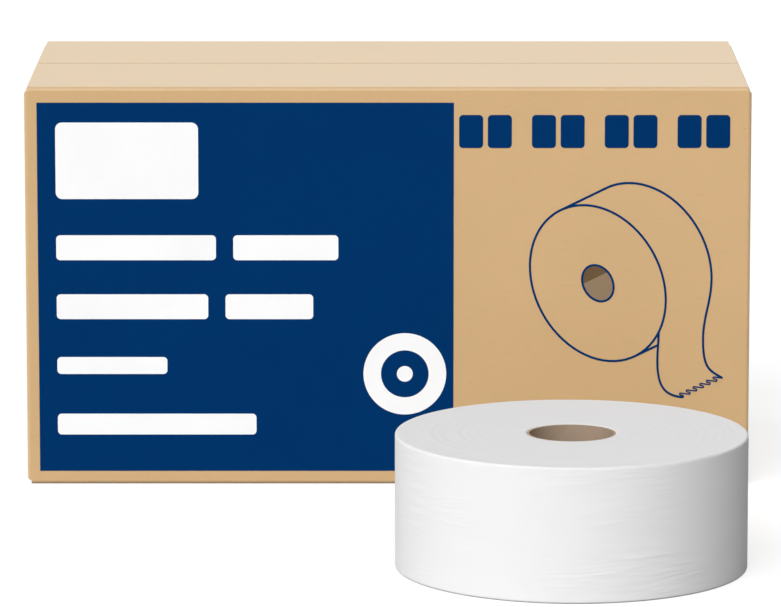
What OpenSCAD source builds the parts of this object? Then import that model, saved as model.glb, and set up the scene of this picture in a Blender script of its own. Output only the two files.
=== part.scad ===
// Pack of jumbo toilet rolls: a glued corrugated carton, and one roll of its kind
// that stands on the same floor in front of it.
// Millimetres, +Z up. The origin is on the floor, at the centre of the whole footprint.
// The carton's printed face looks along -Y.

/* [Carton] */
// Width of the carton, along X
carton_w = 545; // [460:5:640]
// Depth of the carton, along Y
carton_d = 270; // [200:2:340]
// Height of the carton
carton_h = 303; // [290:1:380]
// Thickness of the corrugated board
board_t = 3; // [2:0.5:4]
// Outer radius of the folds between panels
fold_r = 3; // [2:0.5:4]
// Gap left where the two outer flaps meet
seam_gap = 1.6; // [0.8:0.2:3]
// Thickness of the paper liner on each side of the flutes
liner_t = 0.5; // [0.3:0.1:0.8]
// Depth of the open flute seen at a cut end of the board
flute_depth = 4; // [2:0.5:8]
// Gap beside the cut edge at the glued corner of the wrap
joint_gap = 1.2; // [0.6:0.2:2]

/* [Printed field] */
// Thickness of the ink layer
ink_t = 0.2; // [0.1:0.05:0.4]
// Bare board left of the printed field
field_left = 9.5; // [4:0.5:20]
// Bare board above the printed field
field_top = 11.7; // [4:0.1:14]
// Bare board below the printed field
field_bottom = 10.3; // [4:0.1:14]
// Bare board right of the printed field
bare_w = 223; // [200:1:240]
// Bare margin inside the field, left of the marks
mark_left = 13.8; // [8:0.2:20]

/* [Marks on the field] */
// Width of the blank name plate
plate_w = 107; // [80:1:130]
// Height of the blank name plate
plate_h = 58; // [40:1:62]
// Top of the name plate below the top of the field
plate_drop = 15; // [10:1:24]
// Corner radius of the name plate
plate_r = 5; // [2:0.5:8]
// Height of a bold word bar
bold_h = 19; // [14:0.5:22]
// Height of a light word bar
light_h = 13; // [8:0.5:16]
// Height of the word bar in the last row
last_h = 16; // [8:0.5:22]
// Corner radius of every word bar
bar_r = 3; // [1:0.25:3.5]
// Space between two word bars in a row
word_gap = 13; // [6:0.5:20]
// Word widths in the first heading row
heading_row_1 = [120, 79]; // [60:1:130]
// Word widths in the second heading row
heading_row_2 = [114, 66]; // [50:1:130]
// Word width in the light row
light_row = [83]; // [40:1:140]
// Word width in the last row
last_row = [150]; // [60:1:180]
// Centre of the first heading row below the top of the field
heading_drop = 110; // [104:1:116]
// Centre of the last row above the bottom of the field
last_rise = 36; // [20:1:60]

/* [Round badge] */
// Diameter of the white disc
badge_d = 62.4; // [40:0.2:68]
// Centre of the disc left of the right edge of the field
badge_right = 36.7; // [34:0.1:50]
// Centre of the disc above the bottom edge of the field
badge_rise = 74.6; // [50:0.2:110]
// Outer diameter of the ring mark on the disc
ring_d = 36; // [16:1:38]
// Inner diameter of the ring mark
ring_bore_d = 12; // [6:1:14]

/* [Marks on the bare board] */
// Number of block pairs in the row at the upper right
code_count = 4; // [2:1:4]
// Width of one block
code_w = 18; // [10:0.5:20]
// Height of one block
code_h = 25; // [10:0.5:26]
// Space between the two blocks of a pair
code_gap = 3.5; // [2:0.5:6]
// Bare board between the printed field and the row
code_left = 3.9; // [2:0.1:8]
// Bare board between the row and the right edge of the carton
code_right = 16; // [6:0.5:18]
// Centre of the row below the top of the carton
code_drop = 33.5; // [18:0.5:40]

/* [Line figure of a roll] */
// Width of the drawn line
line_w = 1.7; // [1:0.1:2.6]
// Long half axis of the drawn end face
figure_a = 62.5; // [40:0.5:66]
// Short half axis of the drawn end face
figure_b = 47.5; // [30:0.5:52]
// Lean of the long axis away from upright, in degrees
figure_lean = 28; // [15:1:35]
// Share of the end face taken by the drawn core
figure_core_share = 0.232; // [0.15:0.01:0.35]
// Lower edge of the shade in the drawn core, above its centre
shade_rise = 5; // [-4:0.5:5]
// Drawn depth of the roll, as steps to the right and up
figure_depth = [34.3, 16.8]; // [10:0.1:40]
// Centre of the end face left of the right edge of the carton
figure_right = 114.5; // [108:0.5:120]
// Centre of the end face below the top of the carton
figure_drop = 148.8; // [140:0.1:156]
// Angle around the end face past its rightmost point where the drawn sheet leaves it
sheet_lap_angle = 26; // [18:1:34]
// Height that the drawn sheet hangs before it swings out
sheet_drop = 46; // [40:1:50]
// Distance that the drawn sheet swings in as it hangs
sheet_pull = 6; // [3:0.5:8]
// Distance that the drawn sheet swings out below its hang
sheet_swing = 15; // [8:0.5:18]
// Height of the swing, down to the torn edge
sheet_tail = 30; // [20:0.5:32]
// Downward slope of the sheet's near edge where it reaches the torn edge, in degrees
near_edge_angle = 8; // [0:1:20]
// Downward slope of the sheet's far edge where it reaches the torn edge, in degrees
far_edge_angle = 30; // [10:1:34]
// Width of the torn edge as a share of the drawn depth
tear_share = 0.88; // [0.8:0.01:1]
// Width of the line along the torn edge
tear_line_w = 1; // [0.6:0.1:1]
// Number of waves on the torn edge
tear_waves = 6; // [3:1:6]
// Height of each wave across the torn edge, from turn centre to turn centre
tear_h = 2.3; // [1.6:0.1:3]
// Distance that each wave leans back along the torn edge
tear_back = 0.5; // [0:0.1:1.2]
// Radius of each turn of the torn edge
tear_r = 0.7; // [0.6:0.05:0.75]

/* [Roll] */
// Outer diameter of the roll
roll_d = 250; // [200:2:280]
// Width of the sheet, which is the height of the standing roll
roll_h = 96; // [80:1:120]
// Inner diameter of the core
core_bore_d = 60; // [40:1:80]
// Wall of the core
core_wall = 1.5; // [1:0.25:3]
// Rounding of the roll's two rims
rim_r = 1.6; // [0.8:0.2:3]
// Proud bands of turns on each end face
turn_count = 14; // [6:1:18]
// Height of the proudest band
turn_h = 0.3; // [0.1:0.05:0.6]
// Thickness of the last sheet where it ends
tail_t = 0.6; // [0.3:0.1:1]
// Angle of the last sheet's end, anticlockwise from +X, in degrees
tail_angle = 62; // [0:5:180]
// Distance of the roll's axis right of the carton's centre
roll_x = 130; // [-140:1:140]
// Free floor between the carton's front and the roll
roll_gap = 160; // [5:5:200]

/* [Hidden] */

kraft = [0.82, 0.68, 0.49];
navy = [0, 0.2, 0.4];
white = [0.97, 0.97, 0.97];
brown = [0.57, 0.47, 0.36];
dark_brown = [0.41, 0.33, 0.22];
tissue = [0.95, 0.95, 0.95];
core_card = [0.62, 0.53, 0.44];

// Segments on a full circle
fine = 180;
// Segments on a small printed corner
small_fine = 48;
// Points on a drawn oval
oval_fine = 72;
// Points on the part of the oval that the far end face shows
arc_fine = 36;
// Points on each turn of the torn edge, less one
turn_fine = 8;
// Points on each curve of the hanging sheet
curve_fine = 12;
// Share of a curve's length that its ends keep their own direction
curve_ease = 0.38;
// Flats on the rounding of the roll's rims
rim_steps = 3;
// Least height of a band of turns, as a share of the proudest one's
least_turn = 0.35;
// Angle that spreads the bands' heights without a repeat
turn_spread = 137.5;
// How far a cutter reaches past the face it cuts
past = 1;

total_d = roll_d + roll_gap + carton_d;
front_y = total_d / 2 - carton_d;
carton_y = front_y + carton_d / 2;
roll_y = -total_d / 2 + roll_d / 2;
outer_flap_l = carton_w - 2 * fold_r;

left_x = -carton_w / 2;
right_x = carton_w / 2;
field_x = left_x + field_left;
field_w = carton_w - field_left - bare_w;
field_top_z = carton_h - field_top;
mark_x = field_x + mark_left;
heading_z = field_top_z - heading_drop;
row_pitch = (heading_z - field_bottom - last_rise) / 3;
badge_centre = [field_x + field_w - badge_right, field_bottom + badge_rise];
code_pair_w = 2 * code_w + code_gap;
code_pitch = (bare_w - code_left - code_right - code_pair_w) / (code_count - 1);
figure_centre = [right_x - figure_right, carton_h - figure_drop];
figure_tilt = 90 + figure_lean;

core_r = core_bore_d / 2 + core_wall;
turn_pitch = (roll_d / 2 - rim_r - core_r) / turn_count;

// Point on an ellipse at one of its own angles, with its long axis turned by a tilt
function on_ellipse(centre, a, b, tilt, t) = centre + [
    a * cos(t) * cos(tilt) - b * sin(t) * sin(tilt),
    a * cos(t) * sin(tilt) + b * sin(t) * cos(tilt)
];

// Points around a whole ellipse, anticlockwise
function ellipse(centre, a, b, tilt, count) = [
    for (i = [0 : count - 1])
        on_ellipse(centre, a, b, tilt, 360 * i / count)
];

// Points of the drawn end face's edge, between two of its own angles
function figure_arc(from, to, count) = [
    for (i = [0 : count])
        on_ellipse(figure_centre, figure_a, figure_b, figure_tilt, from + (to - from) * i / count)
];

// The ellipse's own angle at which its edge runs along a given direction
function tangent_angle(a, b, tilt, direction) =
    let (
        u = direction.x * cos(tilt) + direction.y * sin(tilt),
        v = -direction.x * sin(tilt) + direction.y * cos(tilt)
    )
    atan2(-u * b, v * a);

// Points on a cubic curve from its four control points
function cubic(p, count) = [
    for (i = [0 : count])
        let (t = i / count, s = 1 - t)
        s * s * s * p[0] + 3 * s * s * t * p[1] + 3 * s * t * t * p[2] + t * t * t * p[3]
];

// A path without the points that repeat the one before
function distinct(path) = [
    for (i = [0 : len(path) - 1])
        if (i == 0 || norm(path[i] - path[max(i - 1, 0)]) > 0.01)
            path[i]
];

// Unit vector to the left of a path at one of its points
function left_of(path, i) =
    let (
        ahead = path[min(i + 1, len(path) - 1)],
        behind = path[max(i - 1, 0)],
        run = (ahead - behind) / norm(ahead - behind)
    )
    [-run.y, run.x];

// Outline of a line of one width drawn along a path
function stroke(path, width) = concat(
    [for (i = [0 : len(path) - 1]) path[i] + left_of(path, i) * width / 2],
    [for (i = [len(path) - 1 : -1 : 0]) path[i] - left_of(path, i) * width / 2]
);

// Height of a band of turns above the end face, which differs from its neighbours' heights
function turn_rise(i) = turn_h * (least_turn + (1 - least_turn) * abs(sin(i * turn_spread)));

module rounded_rect(size, r) {
    translate([r, 0])
        square([size.x - 2 * r, size.y]);
    translate([0, r])
        square([size.x, size.y - 2 * r]);
    for (x = [r, size.x - r], y = [r, size.y - r])
        translate([x, y])
            circle(r, $fn = small_fine);
}

module centred_rounded_rect(size, r) {
    translate(-size / 2)
        rounded_rect(size, r);
}

// Lays a flat shape, drawn in X and height, on the carton's front face as ink
module ink() {
    translate([0, front_y, 0])
        rotate([90, 0, 0])
            linear_extrude(ink_t)
                children();
}

// Width taken by the words before one in a row
function words_before(widths, i) =
    i == 0 ? 0 : words_before(widths, i - 1) + widths[i - 1] + word_gap;

// One row of word bars from the left margin, with its centre at a height
module word_row(widths, height, centre_z) {
    for (i = [0 : len(widths) - 1])
        translate([mark_x + words_before(widths, i), centre_z - height / 2])
            rounded_rect([widths[i], height], bar_r);
}

module name_plate_shape() {
    translate([mark_x, field_top_z - plate_drop - plate_h])
        rounded_rect([plate_w, plate_h], plate_r);
}

module heading_shape() {
    word_row(heading_row_1, bold_h, heading_z);
    word_row(heading_row_2, bold_h, heading_z - row_pitch);
}

module note_shape() {
    word_row(light_row, light_h, heading_z - 2 * row_pitch);
    word_row(last_row, last_h, heading_z - 3 * row_pitch);
}

module badge_shape() {
    translate(badge_centre)
        circle(d = badge_d, $fn = fine);
}

module ring_shape() {
    translate(badge_centre)
        difference() {
            circle(d = ring_d, $fn = fine);
            circle(d = ring_bore_d, $fn = fine);
        }
}

// The four side panels, with the inner flaps folded in at both ends of the height
module wrap() {
    inner_h = carton_h - 2 * board_t;
    intersection() {
        translate([0, 0, board_t])
            linear_extrude(inner_h)
                centred_rounded_rect([carton_w, carton_d], fold_r);
        translate([0, carton_d / 2 + past, carton_h / 2])
            rotate([90, 0, 0])
                linear_extrude(carton_d + 2 * past)
                    centred_rounded_rect([carton_w, inner_h], fold_r);
    }
}

// The outer flaps and the panels that they fold from. They end where the corner folds begin
module outer_flaps() {
    translate([-outer_flap_l / 2, 0, carton_h / 2])
        rotate([90, 0, 90])
            linear_extrude(outer_flap_l)
                centred_rounded_rect([carton_d, carton_h], fold_r);
}

// The line where the two outer flaps meet, on the top and on the underside
module flap_seams() {
    for (z = [carton_h - board_t, -past])
        translate([-carton_w / 2, -seam_gap / 2, z])
            cube([carton_w, seam_gap, board_t + past]);
}

// The hollow between the two liners, open at both cut ends of all four outer flaps
module open_flutes() {
    hollow = board_t - 2 * liner_t;
    run = carton_d - 2 * fold_r;
    for (side = [-1, 1], z = [liner_t, carton_h - board_t + liner_t])
        translate([side * (outer_flap_l / 2 - flute_depth / 2 + past / 2), 0, z + hollow / 2])
            cube([flute_depth + past, run, hollow], center = true);
}

// The cut edge of the left panel, which lies on the glued tab of the back panel
module glued_joint() {
    translate([left_x - past, carton_d / 2 - fold_r - joint_gap, board_t + fold_r])
        cube([board_t + past, joint_gap, carton_h - 2 * board_t - 2 * fold_r]);
}

module carton() {
    color(kraft)
        translate([0, carton_y, 0])
            difference() {
                union() {
                    wrap();
                    outer_flaps();
                }
                flap_seams();
                open_flutes();
                glued_joint();
            }
}

module print_field() {
    color(navy)
        ink()
            difference() {
                translate([field_x, field_bottom])
                    square([field_w, field_top_z - field_bottom]);
                name_plate_shape();
                heading_shape();
                note_shape();
                badge_shape();
            }
}

module print_name_plate() {
    color(white)
        ink()
            name_plate_shape();
}

module print_heading_bars() {
    color(white)
        ink()
            heading_shape();
}

module print_note_bars() {
    color(white)
        ink()
            note_shape();
}

module print_badge_disc() {
    color(white)
        ink()
            difference() {
                badge_shape();
                ring_shape();
            }
}

module print_badge_ring() {
    color(navy)
        ink()
            ring_shape();
}

module print_code_blocks() {
    color(navy)
        ink()
            for (i = [0 : code_count - 1], k = [0, 1])
                translate([
                    right_x - code_right - code_pair_w - i * code_pitch + k * (code_w + code_gap),
                    carton_h - code_drop - code_h / 2
                ])
                    rounded_rect([code_w, code_h], bar_r);
}

// A closed ring of line around an ellipse
module ellipse_line(centre, a, b) {
    half = line_w / 2;
    outer = ellipse(centre, a + half, b + half, figure_tilt, oval_fine);
    inner = ellipse(centre, a - half, b - half, figure_tilt, oval_fine);
    ink()
        polygon(
            concat(outer, inner),
            [[for (i = [0 : oval_fine - 1]) i], [for (i = [0 : oval_fine - 1]) oval_fine + i]]
        );
}

module path_line(path, width = line_w) {
    ink()
        polygon(stroke(distinct(path), width));
}

// The edge of the hanging sheet, from the roll's side past its hang to a corner of the torn end
function sheet_edge(start, hang, corner, slope) =
    let (
        fall = curve_ease * [0, start.y - hang.y],
        drop = [0, -2 * curve_ease * sheet_tail],
        flare = 2 * curve_ease * sheet_swing * [-cos(slope), sin(slope)]
    )
    concat(
        cubic([start, start - fall, hang + fall, hang], curve_fine),
        cubic([hang, hang + drop, corner + flare, corner], curve_fine)
    );

// Points around one turn of a path that winds, from one heading to another. Its centre lies to
// the left of the path on side 1 and to the right on side -1
function turn_points(centre, side, from, to) = [
    for (i = [0 : turn_fine])
        let (heading = from + (to - from) * i / turn_fine)
        centre + side * tear_r * [sin(heading), -cos(heading)]
];

// The torn end: round turns in two rows between the sheet's two corners, joined by straight runs
function torn_edge(from, to) =
    let (
        pitch = (to - from) / tear_waves,
        along = pitch / norm(pitch),
        up = tear_h * [-along.y, along.x] - tear_back * along,
        down = pitch - up,
        up_heading = atan2(up.y, up.x) + asin(2 * tear_r / norm(up)),
        down_heading = atan2(down.y, down.x) - asin(2 * tear_r / norm(down)),
        ahead = [cos(down_heading), sin(down_heading)],
        first_centre = from + tear_r * [-ahead.y, ahead.x],
        turns = [
            for (i = [0 : tear_waves - 1])
                let (centre = first_centre + i * pitch)
                concat(
                    turn_points(centre, 1, down_heading, up_heading),
                    turn_points(centre + up, -1, up_heading, down_heading)
                )
        ]
    )
    concat([from - tear_r * ahead], [for (turn = turns) each turn], [to]);

module print_figure_lines() {
    // Where the drawn roll's outline leaves its near end face, at the top and at the right
    top = tangent_angle(figure_a, figure_b, figure_tilt, figure_depth) - 180;
    right = tangent_angle(figure_a, figure_b, figure_tilt, [0, 1]);
    near_arc = figure_arc(top, right, arc_fine);
    far_arc = [for (p = near_arc) p + figure_depth];
    top_start = near_arc[0];
    right_start = near_arc[arc_fine];
    hang = right_start - [sheet_pull, sheet_drop];
    far_corner = hang + figure_depth + [sheet_swing, -sheet_tail];
    near_corner = far_corner - tear_share * figure_depth;
    near_start = figure_arc(right, right - sheet_lap_angle, 1)[1];
    near_edge = sheet_edge(near_start, hang, near_corner, near_edge_angle);
    far_start = right_start + figure_depth;
    far_edge = sheet_edge(far_start, hang + figure_depth, far_corner, far_edge_angle);
    low_start = 2 * figure_centre - top_start;
    low_share = (hang.x + line_w / 4 - low_start.x) / figure_depth.x;
    color(navy)
        union() {
            ellipse_line(figure_centre, figure_a, figure_b);
            ellipse_line(
                figure_centre,
                figure_a * figure_core_share,
                figure_b * figure_core_share
            );
            path_line(concat([top_start], far_arc, far_edge));
            path_line(near_edge);
            path_line(torn_edge(near_corner, far_corner), tear_line_w);
            path_line([low_start, low_start + low_share * figure_depth]);
        }
}

// The inside of the drawn core, cut along the drawn depth into a shaded and a lit part
module figure_core_shape(lit) {
    half = line_w / 2;
    a = figure_a * figure_core_share - half;
    b = figure_b * figure_core_share - half;
    intersection() {
        polygon(ellipse(figure_centre, a, b, figure_tilt, oval_fine));
        translate(figure_centre + [0, shade_rise])
            rotate(atan2(figure_depth.y, figure_depth.x))
                translate([-2 * a, lit ? -4 * a : 0])
                    square(4 * a);
    }
}

module print_figure_core_shade() {
    color(dark_brown)
        ink()
            figure_core_shape(false);
}

module print_figure_core_wall() {
    color(brown)
        ink()
            figure_core_shape(true);
}

// Half profile of the wound sheet, with turns that stand proud on both end faces
function roll_profile() =
    let (
        r = roll_d / 2,
        turns = [for (i = [0 : turn_count - 1]) i],
        low = [
            for (i = turns)
                each [
                    [core_r + turn_pitch * i, turn_h],
                    [core_r + turn_pitch * (i + 0.5), turn_h - turn_rise(i)]
                ]
        ],
        high = [
            for (i = turns)
                let (j = turn_count - 1 - i)
                each [
                    [core_r + turn_pitch * (j + 0.5), roll_h - turn_h + turn_rise(j + 5)],
                    [core_r + turn_pitch * j, roll_h - turn_h]
                ]
        ],
        rim = [
            for (k = [0 : rim_steps])
                let (t = 90 * k / rim_steps)
                [r - rim_r + rim_r * sin(t), rim_r - rim_r * cos(t)]
        ],
        high_rim = [for (k = [rim_steps : -1 : 0]) [rim[k].x, roll_h - rim[k].y]]
    )
    concat(low, rim, high_rim, high);

// The hollow left behind the end of the last sheet. It runs out around the roll, along a
// wider circle whose centre lies behind the roll's axis
module tail_step() {
    r = roll_d / 2;
    lift = r / 2;
    rotate([0, 0, tail_angle])
        translate([0, 0, -past])
            linear_extrude(roll_h + 2 * past)
                difference() {
                    intersection() {
                        circle(r = r + past, $fn = fine);
                        square(r + 2 * past);
                    }
                    translate([-lift, 0])
                        circle(r = r - tail_t + lift, $fn = fine);
                }
}

module tissue_roll() {
    color(tissue)
        translate([roll_x, roll_y, 0])
            difference() {
                rotate_extrude($fn = fine)
                    polygon(roll_profile());
                tail_step();
            }
}

module roll_core() {
    color(core_card)
        translate([roll_x, roll_y, 0])
            difference() {
                translate([0, 0, turn_h])
                    cylinder(r = core_r, h = roll_h - 2 * turn_h, $fn = fine);
                translate([0, 0, -past])
                    cylinder(d = core_bore_d, h = roll_h + 2 * past, $fn = fine);
            }
}

carton();
print_field();
print_name_plate();
print_heading_bars();
print_note_bars();
print_badge_disc();
print_badge_ring();
print_code_blocks();
print_figure_lines();
print_figure_core_shade();
print_figure_core_wall();
tissue_roll();
roll_core();
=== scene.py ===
"""Looks for a pack of jumbo toilet rolls: board, ink, wound tissue and core card.

Metres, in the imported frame: +Z up, the floor at z = 0, the printed face towards -Y.
"""

import math

import bmesh
import bpy
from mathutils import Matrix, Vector, noise


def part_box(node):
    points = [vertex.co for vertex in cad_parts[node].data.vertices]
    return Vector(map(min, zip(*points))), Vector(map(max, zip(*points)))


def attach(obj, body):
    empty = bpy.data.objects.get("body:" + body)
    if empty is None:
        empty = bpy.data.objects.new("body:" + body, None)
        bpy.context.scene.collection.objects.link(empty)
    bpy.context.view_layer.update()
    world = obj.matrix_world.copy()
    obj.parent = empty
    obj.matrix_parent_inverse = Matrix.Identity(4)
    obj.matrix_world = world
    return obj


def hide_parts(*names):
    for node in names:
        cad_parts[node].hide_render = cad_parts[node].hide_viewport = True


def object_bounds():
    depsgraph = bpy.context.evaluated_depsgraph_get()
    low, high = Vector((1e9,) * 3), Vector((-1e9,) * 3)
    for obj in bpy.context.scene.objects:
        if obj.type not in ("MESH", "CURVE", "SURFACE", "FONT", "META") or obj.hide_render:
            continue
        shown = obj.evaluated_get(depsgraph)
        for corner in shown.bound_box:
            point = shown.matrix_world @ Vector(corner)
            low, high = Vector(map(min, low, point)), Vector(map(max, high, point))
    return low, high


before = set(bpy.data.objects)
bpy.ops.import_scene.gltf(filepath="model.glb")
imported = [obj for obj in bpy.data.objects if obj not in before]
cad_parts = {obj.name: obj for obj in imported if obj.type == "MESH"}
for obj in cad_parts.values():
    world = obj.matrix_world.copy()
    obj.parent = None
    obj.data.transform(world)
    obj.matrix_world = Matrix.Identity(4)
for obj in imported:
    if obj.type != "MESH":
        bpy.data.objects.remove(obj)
cad_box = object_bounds()

MM = 0.001

# Where the camera stands for the photograph's frame
CAMERA_PLACE = (0.0020, -4.330, 0.9076)
CAMERA_PITCH = math.radians(9.912)
CAMERA_LENS = 273.52
CAMERA_REACH = 100
SENSOR_W = 36.0

# Soft light: two wide lamps in front, one of them further left, and a room darker on the right
LIGHT_COLOUR = (1, 1, 1, 1)
LAMP_ELEVATION = math.radians(46)
LAMP_SOFTNESS = math.radians(45)
LEFT_LAMP_AZIMUTH = math.radians(25)
LEFT_LAMP_STRENGTH = 1.70
FRONT_LAMP_STRENGTH = 1.08
ROOM_LEVEL = 0.47
ROOM_SLOPE = (-0.52, 0.0, 0.0)
FLOOR_TONE = 0.30
FLOOR_GLOW = 0.735
FLOOR_SIZE = 30.0

# Finishes, as display colours
KRAFT = (208, 171, 122)
KRAFT_FLECK = (160, 122, 80)
# Lighter board on the edges: partly rub, partly a painted highlight along the folds
KRAFT_RUB_AND_HIGHLIGHT = (226, 200, 164)
NAVY = (0, 51, 103)
NAVY_THIN = (50, 78, 112)
WHITE = (253, 253, 253)
WHITE_THIN = (240, 232, 220)
BROWN = (145, 123, 97)
DARK_BROWN = (105, 83, 57)
TISSUE = (238, 238, 238)
# The roll's ends and rims take a greyer tissue than its side: painted shade
TISSUE_END_PAINTED_SHADE = (212, 212, 213)
CORE_CARD = (168, 148, 128)
CORE_CARD_DARK = (128, 108, 90)

# The tint of the board's sheen, as the renderer's own colour
KRAFT_SHEEN = (1.0, 0.94, 0.77, 1.0)

# The carton's board
BOARD_T = 3 * MM
LINER_T = 0.5 * MM
FOLD_R = 3 * MM
SEAM_GAP = 1.6 * MM
FLUTE_PITCH = 6.5 * MM
FLUTE_SHOW = 0.012 * MM
FIBRE_SHOW = 0.010 * MM

# Grain of the board's paper, in repeats a metre along the board and across it
FIBRE_GRAIN = (160.0, 900.0)
FLECK_GRAIN = (70.0, 420.0)
FLECK_LAYER = 3.0
FLECK_LIMITS = (0.60, 0.78)
FLECK_SHARE = 0.13
CLOUD_GRAIN = 14.0
CLOUD_TONES = (0.96, 1.04)

# Rub on the folds, lighter partly as a painted highlight, and painted shade on the up-facing rounds of
# the folds and beside the seam
RUB_AND_HIGHLIGHT_W = 5 * MM
RUB_AND_HIGHLIGHT_GRAIN = 260.0
RUB_AND_HIGHLIGHT_LIMITS = (0.35, 0.7)
RUB_AND_HIGHLIGHT_SHARE = 0.15
SEAM_SHADE_W = 3.4 * MM
PAINTED_SHADE_TONE = 0.66
FOLD_SHADE_SHARE = 0.68

# How far a face has to turn one way before it counts, as a part of its normal
END_PANEL_FACING = 0.7
FLAP_FACING = 0.9
FLAT_LIMITS = (0.86, 0.999)
RISING_LIMITS = (0.0, 0.2)
ROLL_END_LIMITS = (0.0, 0.75)

# Ink on the board
SPECK_GRAIN = 1500.0
SPECK_LIMITS = (0.62, 0.74)
DRIFT_GRAIN = 22.0
DRIFT_TONES = (0.95, 1.05)

# The waved sheet between the liners, where a flap's cut end shows it
FLUTING_DEPTH = 3.7 * MM
FLUTING_T = 0.25 * MM
FLUTING_PLAY = 0.03 * MM
FLUTING_POINTS = 12

# The long sides of the waved sheet, each between two of the four corners of its section
FLUTING_SIDES = ((0, 2), (2, 3), (3, 1), (1, 0))

# The roll, as its own solids give it
ROLL_LOW, ROLL_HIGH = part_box("tissue_roll")
CORE_LOW, CORE_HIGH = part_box("roll_core")
ROLL_R = (ROLL_HIGH.y - ROLL_LOW.y) / 2
ROLL_H = ROLL_HIGH.z - ROLL_LOW.z
CORE_R = (CORE_HIGH.y - CORE_LOW.y) / 2
ROLL_AXIS = Vector(((CORE_LOW.x + CORE_HIGH.x) / 2, (CORE_LOW.y + CORE_HIGH.y) / 2, 0))
RIM_R = 1.6 * MM
BAND_COUNT = 14
BAND_H = 0.3 * MM
BAND_SOFTNESS = 0.6
LEAST_BAND = 0.35
BAND_SPREAD = math.radians(137.5)
LOW_BAND_START = 0
TOP_BAND_START = 5
TAIL_ANGLE = math.radians(62)
TAIL_T = 0.6 * MM
TAIL_FADE = math.radians(90)

# The roll's skin: how finely it is cut, and how far it lies inside the solid
SKIN_COLUMNS = 420
SKIN_ROWS = 70
BAND_STEPS = 4
RIM_STEPS = 6
TAIL_STEP = 1e-4
SKIN_INSET = 0.1 * MM

# Wrinkles in the skin: patches and the waves in them, each with its noise's reach round and up
PATCH_ROUND = 3.1
PATCH_UP = 22
PATCH_SPREAD = 0.25
WAVE_ROUND = 5.5
WAVE_UP = 260
WAVE_CLIMB = 0.05
WRINKLE_SHOW = 0.16 * MM

# Creases and crepe in the roll's outer sheet
CREASE_LENGTH = 28 * MM
CREASE_HEIGHT = 2.1 * MM
CREASE_SHOW = 0.2 * MM
CREASE_SLANTS = (0.09, 0.035)
CREASE_SHIFT = 7.0
CREASE_PATCH_GRAIN = (11.0, 26.0)
CREASE_PATCH_LIMITS = (0.48, 0.68)
CREPE_GRAIN = (700.0, 160.0)
CREPE_SHOW = 0.012 * MM
TISSUE_CLOUD_GRAIN = 30.0
TISSUE_TONES = (0.985, 1.015)

# The edges of the turns on the roll's ends
TURN_GRAIN = 1500.0
TURN_TONES = (0.91, 1.09)
TURN_SHOW = 0.03 * MM
BAND_GRAIN = 160.0
BAND_LAYER = 4.0

# The core's card, wound from a strip. Its seam is given as a part of the strip's width
CORE_STRIP_W = 90 * MM
CORE_SEAM_PART = 0.012
CORE_SEAM_DEPTH = 0.2 * MM
CORE_SEAM_SHARE = 0.6
CORE_STREAK_GRAIN = (60.0, 1.5)
CORE_STREAK_TONES = (0.88, 1.1)
PULP_GRAIN = 900.0
PULP_SHOW = 0.02 * MM
PULP_SHARE = 0.25


def linear(colour):
    """A display colour from 0 to 255 as the renderer's own red, green, blue and alpha."""
    parts = [c / 255 for c in colour]
    return [p / 12.92 if p <= 0.04045 else ((p + 0.055) / 1.055) ** 2.4 for p in parts] + [1.0]


def add_node(tree, kind, inputs=None, **settings):
    """A new node with its settings made and its inputs joined or set."""
    made = tree.nodes.new(kind)
    for name, value in settings.items():
        setattr(made, name, value)
    for name, value in (inputs or {}).items():
        if isinstance(value, bpy.types.NodeSocket):
            tree.links.new(value, made.inputs[name])
        else:
            made.inputs[name].default_value = value
    return made


def calc(tree, operation, *values, clamp=False):
    inputs = dict(enumerate(values))
    return add_node(tree, "ShaderNodeMath", inputs, operation=operation, use_clamp=clamp).outputs[0]


def times(tree, first, second):
    return calc(tree, "MULTIPLY", first, second)


def opposite(tree, share):
    """0 where a share is 1, and 1 where it is 0."""
    return calc(tree, "SUBTRACT", 1.0, share)


def calc_vector(tree, operation, *values):
    inputs = dict(enumerate(values))
    return add_node(tree, "ShaderNodeVectorMath", inputs, operation=operation).outputs[0]


def vector(tree, x, y, z):
    return add_node(tree, "ShaderNodeCombineXYZ", {0: x, 1: y, 2: z}).outputs[0]


def split(tree, source):
    return add_node(tree, "ShaderNodeSeparateXYZ", {0: source}).outputs


def object_place(tree):
    return add_node(tree, "ShaderNodeTexCoord").outputs["Object"]


def true_normal(tree):
    return add_node(tree, "ShaderNodeNewGeometry").outputs["True Normal"]


def stretched(tree, first, second, repeats, layer=0.0):
    """A place for grain with its own repeats each way. Another layer gives another pattern."""
    return vector(tree, times(tree, first, repeats[0]), times(tree, second, repeats[1]), layer)


def grain(tree, place, scale=1.0, detail=2.0, roughness=0.5):
    """Noise from 0 to 1 over a place."""
    inputs = {"Vector": place, "Scale": scale, "Detail": detail, "Roughness": roughness}
    return add_node(tree, "ShaderNodeTexNoise", inputs).outputs["Fac"]


def step_up(tree, value, start, end):
    """0 below start, 1 above end, smooth between."""
    inputs = {"Value": value, "From Min": start, "From Max": end}
    made = add_node(tree, "ShaderNodeMapRange", inputs, interpolation_type="SMOOTHSTEP")
    return made.outputs["Result"]


def blend_colour(tree, share, first, second):
    """The first colour, with a share of the second over it."""
    made = add_node(tree, "ShaderNodeMix", data_type="RGBA")
    for socket, value in (("Factor_Float", share), ("A_Color", first), ("B_Color", second)):
        target = next(i for i in made.inputs if i.identifier == socket)
        if isinstance(value, bpy.types.NodeSocket):
            tree.links.new(value, target)
        else:
            target.default_value = value
    return next(o for o in made.outputs if o.identifier == "Result_Color")


def shade(tree, colour, mask, low, high):
    """A colour made darker or lighter by a mask from 0 to 1."""
    level = add_node(tree, "ShaderNodeMapRange", {"Value": mask, "To Min": low, "To Max": high})
    inputs = {0: colour, "Scale": level.outputs["Result"]}
    return add_node(tree, "ShaderNodeVectorMath", inputs, operation="SCALE").outputs["Vector"]


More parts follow.
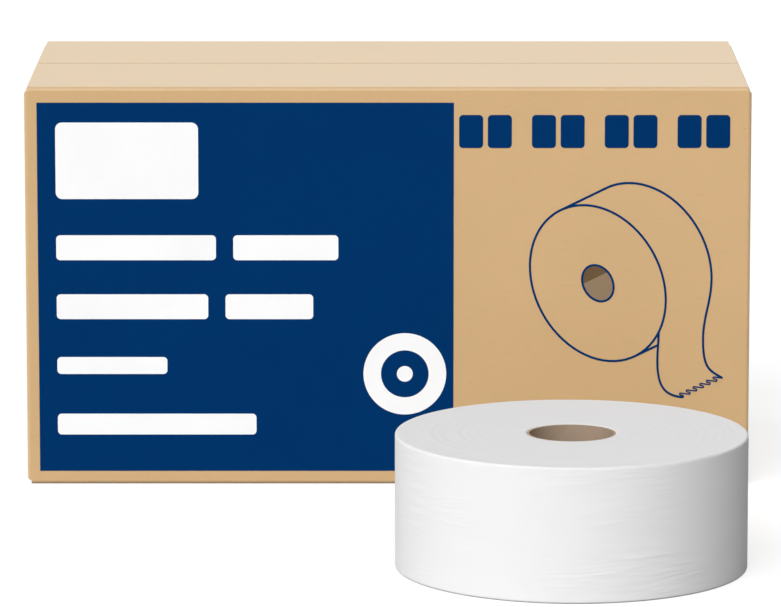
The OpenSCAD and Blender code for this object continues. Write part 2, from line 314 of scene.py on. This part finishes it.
def new_group(name, outputs, numbers, vectors=()):
    """A node group with vector and number inputs and number outputs: its tree, inputs and end node."""
    tree = bpy.data.node_groups.new(name, "ShaderNodeTree")
    for label in vectors:
        tree.interface.new_socket(label, in_out="INPUT", socket_type="NodeSocketVector")
    for label in numbers:
        tree.interface.new_socket(label, in_out="INPUT", socket_type="NodeSocketFloat")
    for label in outputs:
        tree.interface.new_socket(label, in_out="OUTPUT", socket_type="NodeSocketFloat")
    given = tree.nodes.new("NodeGroupInput").outputs
    return tree, given, tree.nodes.new("NodeGroupOutput")


def put_out(tree, end, **results):
    """A group's results joined to its outputs by name."""
    for label, result in results.items():
        tree.links.new(result, end.inputs[label])
    return tree


def put_group(tree, group, **inputs):
    """A group placed in a material, with its inputs given by name with _ for spaces."""
    named = {label.replace("_", " "): value for label, value in inputs.items()}
    return add_node(tree, "ShaderNodeGroup", named, node_tree=group).outputs


def make_board_face():
    """Liner paper over flutes: the faint washboard, the fibres and the clouds in the pulp."""
    outputs = ["Fleck", "Cloud", "Height"]
    tree, given, end = new_group("board_face", outputs, ["Flute Pitch", "Flute Height", "Fibre Height"])
    x, y, z = split(tree, object_place(tree))
    facing = split(tree, true_normal(tree))
    on_side = calc(tree, "GREATER_THAN", calc(tree, "ABSOLUTE", facing[0]), END_PANEL_FACING)
    on_front = opposite(tree, on_side)
    along = calc(tree, "ADD", times(tree, x, on_front), times(tree, y, on_side))
    across = calc(tree, "ADD", z, times(tree, y, on_front))
    turn = times(tree, calc(tree, "DIVIDE", along, given["Flute Pitch"]), math.tau)
    flute = calc(tree, "SINE", turn)
    fibre = grain(tree, stretched(tree, along, across, FIBRE_GRAIN), detail=3.0, roughness=0.6)
    fleck_place = stretched(tree, along, across, FLECK_GRAIN, FLECK_LAYER)
    fleck = step_up(tree, grain(tree, fleck_place, roughness=0.55), *FLECK_LIMITS)
    cloud = grain(tree, vector(tree, along, across, 0.0), CLOUD_GRAIN, detail=3.0, roughness=0.55)
    flute_lift = times(tree, flute, given["Flute Height"])
    fibre_lift = times(tree, fibre, given["Fibre Height"])
    lift = calc(tree, "ADD", flute_lift, fibre_lift)
    return put_out(tree, end, Fleck=fleck, Cloud=cloud, Height=lift)


def make_edge_rub_and_highlight():
    """A ragged mask along a box's edges, for a lighter rub that is partly a painted highlight."""
    tree, given, end = new_group("edge_rub_and_highlight", ["Mask"], ["Width"], ["Centre", "Half Size"])
    place = object_place(tree)
    reach = calc_vector(tree, "ABSOLUTE", calc_vector(tree, "SUBTRACT", place, given["Centre"]))
    gap_x, gap_y, gap_z = split(tree, calc_vector(tree, "SUBTRACT", given["Half Size"], reach))
    # The middle one of the three gaps is the way to the nearest edge
    low = calc(tree, "MINIMUM", gap_x, gap_y)
    high = calc(tree, "MAXIMUM", gap_x, gap_y)
    to_edge = calc(tree, "MAXIMUM", low, calc(tree, "MINIMUM", high, gap_z))
    near = calc(tree, "SUBTRACT", 1.0, calc(tree, "DIVIDE", to_edge, given["Width"]), clamp=True)
    ragged = step_up(tree, grain(tree, place, RUB_AND_HIGHLIGHT_GRAIN, detail=4.0, roughness=0.6), *RUB_AND_HIGHLIGHT_LIMITS)
    return put_out(tree, end, Mask=times(tree, calc(tree, "POWER", near, 2.0), ragged))


def make_ink_lay():
    """How ink lies on rough paper: small thin spots and a slow drift in its weight."""
    tree, given, end = new_group("ink_lay", ["Thin", "Drift"], ["Thin Spots"])
    place = object_place(tree)
    speck = step_up(tree, grain(tree, place, SPECK_GRAIN, detail=3.0, roughness=0.7), *SPECK_LIMITS)
    thin = times(tree, speck, given["Thin Spots"])
    drift = grain(tree, place, DRIFT_GRAIN, detail=3.0, roughness=0.6)
    return put_out(tree, end, Thin=thin, Drift=drift)


def make_turned_place():
    """A place as seen from a round piece's own axis: around it from a start, out from it, and up."""
    tree, given, end = new_group("turned_place", ["Angle", "Radius", "Up"], ["Start Angle"], ["Axis"])
    x, y, z = split(tree, calc_vector(tree, "SUBTRACT", object_place(tree), given["Axis"]))
    turned = calc(tree, "SUBTRACT", calc(tree, "ARCTAN2", y, x), given["Start Angle"])
    angle = calc(tree, "WRAP", turned, math.tau, 0.0)
    radius = calc(tree, "SQRT", calc(tree, "ADD", times(tree, x, x), times(tree, y, y)))
    return put_out(tree, end, Angle=angle, Radius=radius, Up=z)


def make_crease():
    """Long shallow creases that run around a roll and climb a little, in loose patches."""
    tree, given, end = new_group("crease", ["Height"], ["Around", "Up", "Slant", "Shift"])
    around, up, slant, shift = (given[label] for label in ("Around", "Up", "Slant", "Shift"))
    level = calc(tree, "SUBTRACT", up, times(tree, around, slant))
    along = calc(tree, "DIVIDE", around, CREASE_LENGTH)
    across = calc(tree, "DIVIDE", level, CREASE_HEIGHT)
    streak = grain(tree, vector(tree, along, across, shift), detail=1.0, roughness=0.4)
    patch_place = stretched(tree, around, up, CREASE_PATCH_GRAIN, shift)
    patch = step_up(tree, grain(tree, patch_place, detail=1.0), *CREASE_PATCH_LIMITS)
    return put_out(tree, end, Height=times(tree, streak, patch))


BOARD_FACE = make_board_face()
EDGE_RUB_AND_HIGHLIGHT = make_edge_rub_and_highlight()
INK_LAY = make_ink_lay()
TURNED_PLACE = make_turned_place()
CREASE = make_crease()


def new_material(name, **values):
    """A material and its shader, whose own sockets are given by name with _ for spaces."""
    material = bpy.data.materials.new(name)
    material.use_nodes = True
    shader = material.node_tree.nodes["Principled BSDF"]
    for label, value in values.items():
        shader.inputs[label.replace("_", " ")].default_value = value
    return material, material.node_tree, shader


def dress(tree, shader, colour, height):
    """A material's colour and its bump joined to its shader."""
    tree.links.new(colour, shader.inputs["Base Color"])
    raised = add_node(tree, "ShaderNodeBump", {"Height": height, "Strength": 1.0, "Distance": 1.0})
    tree.links.new(raised.outputs["Normal"], shader.inputs["Normal"])


def board_face_in(tree):
    """The board's face with this carton's flutes and fibres."""
    heights = {"Flute_Height": FLUTE_SHOW, "Fibre_Height": FIBRE_SHOW}
    return put_group(tree, BOARD_FACE, Flute_Pitch=FLUTE_PITCH, **heights)


def painted_fold_and_seam_shade(tree, seam):
    """Painted shade: on the rounds of the folds that face up into the lamps, and beside the seam between
    the flaps for the shadow in its gap.
    """
    x, y, z = split(tree, calc_vector(tree, "ABSOLUTE", true_normal(tree)))
    most = calc(tree, "MAXIMUM", calc(tree, "MAXIMUM", x, y), z)
    rounded = opposite(tree, step_up(tree, most, *FLAT_LIMITS))
    fold_shade = times(tree, times(tree, rounded, FOLD_SHADE_SHARE), step_up(tree, z, *RISING_LIMITS))
    depth = split(tree, object_place(tree))[1]
    to_seam = calc(tree, "ABSOLUTE", calc(tree, "SUBTRACT", depth, seam))
    edge = opposite(tree, step_up(tree, to_seam, SEAM_GAP / 2, SEAM_SHADE_W))
    edge = times(tree, edge, calc(tree, "GREATER_THAN", z, FLAP_FACING))
    return calc(tree, "MAXIMUM", fold_shade, edge)


def make_kraft_board():
    """Brown board: flecks and clouds in the pulp, edges lighter as rub and partly as a painted highlight,
    painted shade on the folds and beside the seam.
    """
    sheen = {"Sheen_Weight": 0.6, "Sheen_Roughness": 0.5, "Sheen_Tint": KRAFT_SHEEN}
    material, tree, shader = new_material("kraft_board", Roughness=0.38, Specular_IOR_Level=0.5, **sheen)
    low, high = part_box("carton")
    face = board_face_in(tree)
    rub_and_highlight = put_group(tree, EDGE_RUB_AND_HIGHLIGHT, Centre=(low + high) / 2, Half_Size=(high - low) / 2, Width=RUB_AND_HIGHLIGHT_W)
    colour = shade(tree, linear(KRAFT)[:3], face["Cloud"], *CLOUD_TONES)
    colour = blend_colour(tree, times(tree, face["Fleck"], FLECK_SHARE), colour, linear(KRAFT_FLECK))
    # Edges lightened: partly rub, partly a painted highlight along the folds
    colour = blend_colour(tree, times(tree, rub_and_highlight["Mask"], RUB_AND_HIGHLIGHT_SHARE), colour, linear(KRAFT_RUB_AND_HIGHLIGHT))
    # Painted shade on the up-facing fold rounds and beside the seam
    colour = shade(tree, colour, painted_fold_and_seam_shade(tree, (low.y + high.y) / 2), 1.0, PAINTED_SHADE_TONE)
    dress(tree, shader, colour, face["Height"])
    return material


def make_ink(name, colour, thin_colour, specular, thin_spots):
    """Ink with the board's face under it, thinner in small spots."""
    material, tree, shader = new_material(name, Roughness=0.55, Specular_IOR_Level=specular)
    face = board_face_in(tree)
    lay = put_group(tree, INK_LAY, Thin_Spots=thin_spots)
    tone = shade(tree, linear(colour)[:3], lay["Drift"], *DRIFT_TONES)
    tone = blend_colour(tree, lay["Thin"], tone, linear(thin_colour))
    dress(tree, shader, tone, face["Height"])
    return material


def side_lift_of_tissue(tree, around, up):
    """Height of the roll's side: two sets of creases, each with its own slant, and the crepe."""
    creases = 0.0
    for i, slant in enumerate(CREASE_SLANTS):
        crease = put_group(tree, CREASE, Around=around, Up=up, Slant=slant, Shift=CREASE_SHIFT * i)
        creases = calc(tree, "ADD", creases, crease["Height"])
    crepe = grain(tree, stretched(tree, around, up, CREPE_GRAIN), detail=3.0, roughness=0.6)
    return calc(tree, "ADD", times(tree, creases, CREASE_SHOW), times(tree, crepe, CREPE_SHOW))


def make_tissue():
    """White tissue: creased crepe round the roll's side, the edges of its turns on the ends, and painted
    shade on the ends and rims in a greyer tone.
    """
    material, tree, shader = new_material("tissue", Roughness=0.85, Specular_IOR_Level=0.12)
    spot = put_group(tree, TURNED_PLACE, Axis=ROLL_AXIS, Start_Angle=TAIL_ANGLE)
    facing = split(tree, true_normal(tree))
    # The end's greyer tone reaches over the soft rims, as painted shade there too
    on_end = step_up(tree, calc(tree, "ABSOLUTE", facing[2]), *ROLL_END_LIMITS)
    on_side = opposite(tree, on_end)
    side_lift = side_lift_of_tissue(tree, times(tree, spot["Angle"], ROLL_R), spot["Up"])
    way_out = times(tree, spot["Radius"], TURN_GRAIN)
    turns = grain(tree, vector(tree, way_out, calc(tree, "SINE", spot["Angle"]), 0.0), roughness=0.6)
    bands = grain(tree, vector(tree, times(tree, spot["Radius"], BAND_GRAIN), 0.0, BAND_LAYER))
    cloud = grain(tree, object_place(tree), TISSUE_CLOUD_GRAIN, detail=3.0)
    side_colour = shade(tree, linear(TISSUE)[:3], cloud, *TISSUE_TONES)
    painted_shade_end_colour = shade(tree, linear(TISSUE_END_PAINTED_SHADE)[:3], bands, *TISSUE_TONES)
    painted_shade_end_colour = shade(tree, painted_shade_end_colour, turns, *TURN_TONES)
    end_lift = times(tree, turns, TURN_SHOW)
    lift = calc(tree, "ADD", times(tree, side_lift, on_side), times(tree, end_lift, on_end))
    dress(tree, shader, blend_colour(tree, on_end, side_colour, painted_shade_end_colour), lift)
    return material


def make_core_card():
    """Grey brown card wound in a spiral: a seam, and pulp streaks that follow it."""
    material, tree, shader = new_material("core_card", Roughness=0.7, Specular_IOR_Level=0.3)
    spot = put_group(tree, TURNED_PLACE, Axis=ROLL_AXIS, Start_Angle=TAIL_ANGLE)
    rise = times(tree, spot["Angle"], CORE_STRIP_W / math.tau)
    strip = calc(tree, "FRACT", calc(tree, "DIVIDE", calc(tree, "ADD", spot["Up"], rise), CORE_STRIP_W))
    to_seam = calc(tree, "ABSOLUTE", calc(tree, "SUBTRACT", strip, 0.5))
    seam = opposite(tree, step_up(tree, to_seam, 0.0, CORE_SEAM_PART))
    streak_place = stretched(tree, strip, spot["Angle"], CORE_STREAK_GRAIN)
    streak = grain(tree, streak_place, detail=3.0, roughness=0.6)
    pulp = grain(tree, object_place(tree), PULP_GRAIN, detail=3.0, roughness=0.7)
    colour = shade(tree, linear(CORE_CARD)[:3], streak, *CORE_STREAK_TONES)
    for mask, share in ((pulp, PULP_SHARE), (seam, CORE_SEAM_SHARE)):
        colour = blend_colour(tree, times(tree, mask, share), colour, linear(CORE_CARD_DARK))
    lift = calc(tree, "SUBTRACT", times(tree, pulp, PULP_SHOW), times(tree, seam, CORE_SEAM_DEPTH))
    dress(tree, shader, colour, lift)
    return material


def finish_cad_node(name, material):
    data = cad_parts[name].data
    data.materials.clear()
    data.materials.append(material)


def new_mesh(name, points, faces, material):
    mesh = bpy.data.meshes.new(name)
    mesh.from_pydata(points, [], faces)
    mesh.materials.append(material)
    return mesh


def put_in_scene(name, data):
    """A new object of a mesh, lamp or camera, linked to the scene."""
    made = bpy.data.objects.new(name, data)
    bpy.context.scene.collection.objects.link(made)
    return made


def band_rise(i):
    """Height of a band of turns above the end face, as the roll's solid has it."""
    return BAND_H * (LEAST_BAND + (1 - LEAST_BAND) * abs(math.sin(i * BAND_SPREAD)))


def end_face_profile(start):
    """Radius and rise of the points across an end face, from the core to the rim."""
    width = (ROLL_R - RIM_R - CORE_R) / BAND_COUNT
    points = []
    for i in range(BAND_COUNT):
        for k in range(BAND_STEPS):
            swell = math.sin(math.pi * k / BAND_STEPS)
            rise = BAND_SOFTNESS * (band_rise(i + start) * swell - BAND_H)
            points.append((CORE_R + width * (i + k / BAND_STEPS), rise))
    return points


def rim_profile():
    """Radius and drop of the points around a soft rim, from the end face to the side."""
    turns = [math.pi / 2 * k / RIM_STEPS for k in range(RIM_STEPS + 1)]
    return [(ROLL_R - RIM_R + RIM_R * math.sin(t), RIM_R * (math.cos(t) - 1)) for t in turns]


def roll_profile():
    """Radius and height of the points from the core's low end round the skin to its top end."""
    low_end = [(r, -rise) for r, rise in end_face_profile(LOW_BAND_START)]
    low_rim = [(r, -drop) for r, drop in rim_profile()]
    run = ROLL_H - 2 * RIM_R
    side = [(ROLL_R, RIM_R + run * k / SKIN_ROWS) for k in range(1, SKIN_ROWS)]
    top_rim = [(r, ROLL_H + drop) for r, drop in rim_profile()]
    top_end = [(r, ROLL_H + rise) for r, rise in end_face_profile(TOP_BAND_START)]
    return low_end + low_rim + side + top_rim[::-1] + top_end[::-1]


def tail_cut(angle):
    """How far the side lies in from the full radius, where the last sheet has ended."""
    local = (angle - TAIL_ANGLE) % math.tau
    if local > TAIL_FADE:
        return 0.0
    back = ROLL_R / 2
    reach = ROLL_R - TAIL_T + back
    radius = math.sqrt(reach ** 2 - (back * math.sin(local)) ** 2) - back * math.cos(local)
    return max(0.0, ROLL_R - radius)


def noise_on_side(angle, reach, level):
    """Noise round the roll's side, which closes after one turn."""
    return noise.noise(Vector((math.cos(angle) * reach, math.sin(angle) * reach, level)))


def wrinkle(angle, height):
    """Shallow creases in the outer sheet: patches of short waves that climb from the sheet's end."""
    around = (angle - TAIL_ANGLE) % math.tau * ROLL_R
    patch = noise_on_side(angle, PATCH_ROUND, height * PATCH_UP)
    wave = noise_on_side(angle, WAVE_ROUND, (height - around * WAVE_CLIMB) * WAVE_UP)
    return WRINKLE_SHOW * max(0.0, patch + PATCH_SPREAD) * wave


def skin_column(angle, profile):
    """The profile's points turned to an angle, with the sheet's end and the wrinkles worked in."""
    cut = tail_cut(angle)
    points = []
    for r, z in profile:
        on_side = min(1.0, max(0.0, (r - (ROLL_R - RIM_R)) / RIM_R))
        soft = wrinkle(angle, z) * on_side - SKIN_INSET * on_side
        radius = min(r, ROLL_R - cut) + soft
        points.append((ROLL_AXIS.x + radius * math.cos(angle), ROLL_AXIS.y + radius * math.sin(angle), z))
    return points


def wrapped_faces(columns, rows):
    """Faces over columns of points that close on themselves both ways."""
    faces = []
    for column in range(columns):
        next_column = (column + 1) % columns
        for row in range(rows):
            next_row = (row + 1) % rows
            corners = ((column, row), (next_column, row), (next_column, next_row), (column, next_row))
            faces.append([c * rows + r for c, r in corners])
    return faces


def make_wound_tissue(material):
    """The roll's sheet as one finer skin: banded ends, soft rims, creases and the sheet's end."""
    angles = [math.tau * k / SKIN_COLUMNS for k in range(SKIN_COLUMNS)]
    angles = sorted(angles + [TAIL_ANGLE - TAIL_STEP, TAIL_ANGLE + TAIL_STEP])
    profile = roll_profile()
    points = []
    for angle in angles:
        points += skin_column(angle, profile)
    mesh = new_mesh("wound_tissue", points, wrapped_faces(len(angles), len(profile)), material)
    mesh.update()
    mesh.shade_smooth()
    piece = put_in_scene("wound_tissue", mesh)
    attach(piece, "root")
    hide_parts("tissue_roll")


def waved_strip(points, faces, start, run, inner, outer, middle):
    """One run of waved sheet along Y, from its inner end to its outer end in X."""
    swing = (BOARD_T - 2 * LINER_T) / 2 - FLUTING_T / 2 - FLUTING_PLAY
    steps = round(abs(run) / FLUTE_PITCH * FLUTING_POINTS)
    first = len(points)
    for k in range(steps + 1):
        y = start + run * k / steps
        wave = middle + swing * math.sin(math.tau * (y - start) / FLUTE_PITCH)
        points += [(x, y, wave + t) for x in (inner, outer) for t in (-FLUTING_T / 2, FLUTING_T / 2)]
    for k in range(steps):
        here = first + 4 * k
        there = here + 4
        faces += [(here + i, there + i, there + j, here + j) for i, j in FLUTING_SIDES]
    for end in (first, first + 4 * steps):
        faces.append((end, end + 1, end + 3, end + 2))


def make_fluting(name, side, middle, material):
    """The waved sheet between the liners at one end of the two flaps that meet at a seam."""
    low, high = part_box("carton")
    seam = (low.y + high.y) / 2
    outer = side * (high.x - FOLD_R - LINER_T / 2)
    inner = outer - side * FLUTING_DEPTH
    run = (high.y - low.y) / 2 - FOLD_R - SEAM_GAP / 2
    points, faces = [], []
    for way in (-1, 1):
        waved_strip(points, faces, seam + way * SEAM_GAP / 2, way * run, inner, outer, middle)
    mesh = new_mesh(name, points, faces, material)
    work = bmesh.new()
    work.from_mesh(mesh)
    bmesh.ops.recalc_face_normals(work, faces=work.faces)
    work.to_mesh(mesh)
    work.free()
    piece = put_in_scene(name, mesh)
    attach(piece, "root")


def shown_to_eye(tree):
    """1 for what the camera sees, also through glass or in a reflection, and 0 for stray light."""
    path = add_node(tree, "ShaderNodeLightPath").outputs
    seen = calc(tree, "MAXIMUM", path["Is Camera Ray"], path["Is Glossy Ray"])
    return calc(tree, "MAXIMUM", seen, path["Is Transmission Ray"])


def make_pale_floor():
    """Matt grey that glows to the eye alone, so that it shows white and keeps the shadow."""
    material = bpy.data.materials.new("pale_floor")
    material.use_nodes = True
    tree = material.node_tree
    tree.nodes.clear()
    matt = add_node(tree, "ShaderNodeBsdfDiffuse", {"Color": (FLOOR_TONE, FLOOR_TONE, FLOOR_TONE, 1.0)})
    strength = times(tree, shown_to_eye(tree), FLOOR_GLOW)
    glow = add_node(tree, "ShaderNodeEmission", {"Color": LIGHT_COLOUR, "Strength": strength})
    both = add_node(tree, "ShaderNodeAddShader", {0: matt.outputs[0], 1: glow.outputs[0]})
    add_node(tree, "ShaderNodeOutputMaterial", {"Surface": both.outputs[0]})
    return material


def make_floor():
    half = FLOOR_SIZE / 2
    corners = [(-half, -half, 0), (half, -half, 0), (half, half, 0), (-half, half, 0)]
    mesh = new_mesh("floor", corners, [(0, 1, 2, 3)], make_pale_floor())
    floor = put_in_scene("floor", mesh)


def make_room():
    """A plain room of soft light. The eye sees it white."""
    world = bpy.data.worlds.new("soft_room")
    bpy.context.scene.world = world
    world.use_nodes = True
    tree = world.node_tree
    tree.nodes.clear()
    way = add_node(tree, "ShaderNodeTexCoord").outputs["Generated"]
    slope = add_node(tree, "ShaderNodeVectorMath", {0: way, 1: ROOM_SLOPE}, operation="DOT_PRODUCT")
    level = calc(tree, "MAXIMUM", calc(tree, "ADD", slope.outputs["Value"], ROOM_LEVEL), 0.0)
    light = add_node(tree, "ShaderNodeBackground", {"Color": LIGHT_COLOUR, "Strength": level})
    seen = add_node(tree, "ShaderNodeBackground", {"Color": LIGHT_COLOUR, "Strength": 1.0})
    inputs = {0: shown_to_eye(tree), 1: light.outputs[0], 2: seen.outputs[0]}
    mixed = add_node(tree, "ShaderNodeMixShader", inputs)
    add_node(tree, "ShaderNodeOutputWorld", {"Surface": mixed.outputs[0]})


def make_lamp(name, azimuth, strength):
    lamp = bpy.data.lights.new(name, "SUN")
    lamp.energy = strength
    lamp.angle = LAMP_SOFTNESS
    light = put_in_scene(name, lamp)
    light.rotation_euler = (math.pi / 2 - LAMP_ELEVATION, 0, -azimuth)


def make_camera():
    data = bpy.data.cameras.new("camera")
    data.sensor_width = SENSOR_W
    data.lens = CAMERA_LENS
    data.clip_end = CAMERA_REACH
    camera = put_in_scene("camera", data)
    camera.location = CAMERA_PLACE
    camera.rotation_euler = (math.pi / 2 - CAMERA_PITCH, 0, 0)
    bpy.context.scene.camera = camera


kraft_board = make_kraft_board()
navy_ink = make_ink("navy_ink", NAVY, NAVY_THIN, specular=0.02, thin_spots=0.08)
white_ink = make_ink("white_ink", WHITE, WHITE_THIN, specular=0.3, thin_spots=0.05)
brown_ink = make_ink("brown_ink", BROWN, KRAFT, specular=0.1, thin_spots=0.08)
dark_brown_ink = make_ink("dark_brown_ink", DARK_BROWN, KRAFT, specular=0.1, thin_spots=0.08)

finish_cad_node("carton", kraft_board)
for name in ("print_field", "print_badge_ring", "print_code_blocks", "print_figure_lines"):
    finish_cad_node(name, navy_ink)
for name in ("print_name_plate", "print_heading_bars", "print_note_bars", "print_badge_disc"):
    finish_cad_node(name, white_ink)
finish_cad_node("print_figure_core_wall", brown_ink)
finish_cad_node("print_figure_core_shade", dark_brown_ink)
finish_cad_node("roll_core", make_core_card())
make_wound_tissue(make_tissue())
for level, middle in (("lower", BOARD_T / 2), ("upper", cad_box[1].z - BOARD_T / 2)):
    make_fluting("fluting_left_" + level, -1, middle, kraft_board)
    make_fluting("fluting_right_" + level, 1, middle, kraft_board)

make_floor()
make_room()
make_lamp("left_lamp", LEFT_LAMP_AZIMUTH, LEFT_LAMP_STRENGTH)
make_lamp("front_lamp", 0, FRONT_LAMP_STRENGTH)
make_camera()
bpy.context.scene.view_settings.view_transform = "Standard"
